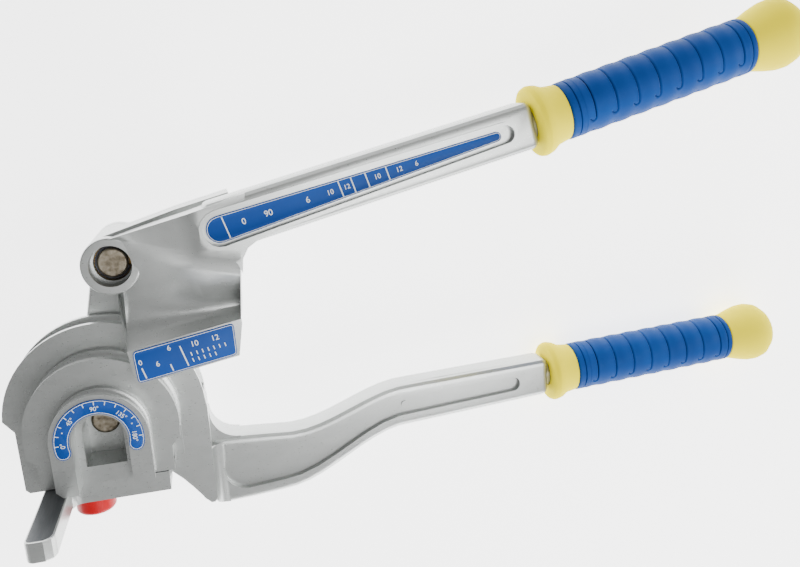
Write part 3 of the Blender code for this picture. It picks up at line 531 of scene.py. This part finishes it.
def groove_depth(u, s, span):
    """How deep the sleeve is cut at a length u and a distance s round it (all in metres)."""
    near = np.minimum(np.abs(u - RING_FIRST), np.abs(u - span + RING_LAST)) + RING_SHALLOWER
    straight = ((s < FRONT_TOP) & (s > FRONT_END)) | ((s < BACK_TOP) & (s > BACK_END))
    for i in range(HOOKS):
        at = HOOK_FIRST + hook_pitch(span) * i
        near = np.minimum(near, np.where(straight, np.abs(u - at), 1.0))
        centre = at - HOOK_R
        hook = np.abs(np.hypot(u - centre, s - FRONT_END) - HOOK_R)
        curl = (s < FRONT_END) & (u > centre - HOOK_TIP * HOOK_R)
        near = np.minimum(near, np.where(curl, hook, 1.0))
    return np.clip(1.0 - (near / GROOVE_W) ** 2, 0.0, 1.0) * GROOVE_D


def grid_faces(rows, around):
    """Faces of a closed tube of points, row by row, with a lid at each end."""
    faces = []
    for i in range(rows - 1):
        for j in range(around):
            k = (j + 1) % around
            faces.append((i * around + j, i * around + k, (i + 1) * around + k, (i + 1) * around + j))
    faces.append(tuple(reversed(range(around))))
    faces.append(tuple((rows - 1) * around + j for j in range(around)))
    return faces


def sleeve(node, name):
    """Grooved sleeve: a turned grid whose radius is lowered along each groove."""
    start, line, span = axis_of(node)
    away = points_of(node) - start
    radius = float(np.linalg.norm(away - np.outer(away @ line, line), axis=1).max())
    front = np.array((0, 0, 1.0)) - line * line[2]
    front /= np.linalg.norm(front)
    up = np.cross(front, line)
    up = up if up[1] > 0 else -up
    u = np.linspace(0, span, ROWS)[:, None]
    a = np.linspace(-math.pi, math.pi, AROUND, endpoint=False)[None, :]
    depth = groove_depth(u + 0 * a, radius * a + 0 * u, span)
    swell = SWELL * np.cos((u - HOOK_FIRST) / hook_pitch(span) * 2 * math.pi)
    inside = (u > SWELL_FIRST) & (u < span - SWELL_LAST)
    end_round = END_DROP * (np.exp(-u / END_LENGTH) + np.exp(-(span - u) / END_LENGTH))
    r = radius - SWELL - depth - np.where(inside, swell, 0.0) - end_round
    outward = np.cos(a)[..., None] * front + np.sin(a)[..., None] * up
    grid = start + u[..., None] * line + r[..., None] * outward
    mesh = bpy.data.meshes.new(name)
    mesh.from_pydata([tuple(v) for v in grid.reshape(-1, 3)], [], grid_faces(ROWS, AROUND))
    mesh.shade_smooth()
    mesh.set_sharp_from_angle(angle=math.radians(60))
    mesh.materials.append(GRIP_BLUE)
    mesh.materials.append(GROOVE_PAINTED_SHADE)
    # Faces deep in a groove get the darker blue as painted shade.
    low = depth > GROOVE_SHADE_SHARE * GROOVE_D
    deep = low[:-1] & low[1:]
    mesh.polygons.foreach_set("material_index", np.append(deep.ravel(), (False, False)).astype(np.int32))
    return placed(name, mesh)


for side, body in (("upper", "bending"), ("lower", "forming")):
    core = from_cad(f"{side}_grip_core", f"{side}-grip-core", GRIP_EDGE, GRIP_YELLOW, 3)
    mount(core, body, f"{side}_grip_core")
    mount(sleeve(f"{side}_grip_sleeve", f"{side}-grip-sleeve"), body, f"{side}_grip_sleeve")


# Floor. A plain pale sheet just under the tool, a little luminous so that it stays pale in the
# object's shade.
FLOOR_HALF, FLOOR_DROP = 3.0, 0.0005
floor_mesh = bpy.data.meshes.new("floor")
corners = [(x * FLOOR_HALF, y * FLOOR_HALF, 0) for x, y in ((-1, -1), (1, -1), (1, 1), (-1, 1))]
floor_mesh.from_pydata(corners, [], [(0, 1, 2, 3)])
floor = placed("floor", floor_mesh)
floor.location.z = CAD_BOX[0][2] - FLOOR_DROP
floor_paint = bpy.data.materials.new("pale floor")
floor_paint.use_nodes = True
floor_shader = floor_paint.node_tree.nodes["Principled BSDF"]
floor_shader.inputs["Base Color"].default_value = (0.93, 0.93, 0.93, 1)
floor_shader.inputs["Roughness"].default_value = 0.9
floor_shader.inputs["Emission Color"].default_value = (1, 1, 1, 1)
floor_shader.inputs["Emission Strength"].default_value = 3.4
floor_mesh.materials.append(floor_paint)


# Light. A sky that is bright in a low ring and dimmer overhead and behind draws light edges on the
# castings, and three soft boxes fill the front, the right and the underside.
world = bpy.data.worlds.new("studio")
world.use_nodes = True
sky = world.node_tree
toward = sky.nodes.new("ShaderNodeSeparateXYZ")
sky.links.new(sky.nodes.new("ShaderNodeTexCoord").outputs["Generated"], toward.inputs[0])
glow = sky.nodes.new("ShaderNodeMath")
glow.operation = "MULTIPLY"
FADES = (("Z", 0.15, 0.9, 2.6, 0.82), ("Y", -0.1, 0.9, 1.0, 0.62))
for factor, (axis, low, high, at_low, at_high) in enumerate(FADES):
    fade = sky.nodes.new("ShaderNodeMapRange")
    for label, value in (("From Min", low), ("From Max", high), ("To Min", at_low), ("To Max", at_high)):
        fade.inputs[label].default_value = value
    sky.links.new(toward.outputs[axis], fade.inputs["Value"])
    sky.links.new(fade.outputs["Result"], glow.inputs[factor])
sky.links.new(glow.outputs[0], sky.nodes["Background"].inputs["Color"])
sky.nodes["Background"].inputs["Strength"].default_value = 0.4
bpy.context.scene.world = world


def soft_box(name, place, aim, size, power):
    """Square area light turned to a point."""
    light = bpy.data.lights.new(name, "AREA")
    light.energy = power
    light.size = size
    obj = placed(name, light)
    obj.location = place
    obj.rotation_euler = (aim - place).to_track_quat("-Z", "Y").to_euler()


CENTRE = Vector((0.16, 0.04, 0.04))
LIGHTS = (("key", (0.25, -0.8, 0.35), 0.5, 7.0), ("right", (0.9, 0.1, 0.30), 0.35, 5.0),
          ("front", (0.2, -0.1, 0.9), 0.5, 6.0))
for name, offset, size, power in LIGHTS:
    soft_box(name, CENTRE + Vector(offset), CENTRE, size, power)


# Camera. It hangs close over the wheels with a slightly wide lens, and is turned a little so that
# both handles run away from it to the right.
CAMERA_AT, LENS, FRAME_W = (0.0542, 0.1262, 0.3742), 35.6, 36.0
camera_data = bpy.data.cameras.new("camera")
camera_data.sensor_width = FRAME_W
camera_data.lens = LENS
camera_data.clip_start = 0.01
camera = placed("camera", camera_data)
RIGHT = Vector((0.96957, -0.05857, 0.23772))
UP = Vector((0.10992, 0.97173, -0.20893))
turned = Matrix((RIGHT, UP, RIGHT.cross(UP))).transposed().to_4x4()
camera.matrix_world = Matrix.Translation(CAMERA_AT) @ turned
bpy.context.scene.camera = camera
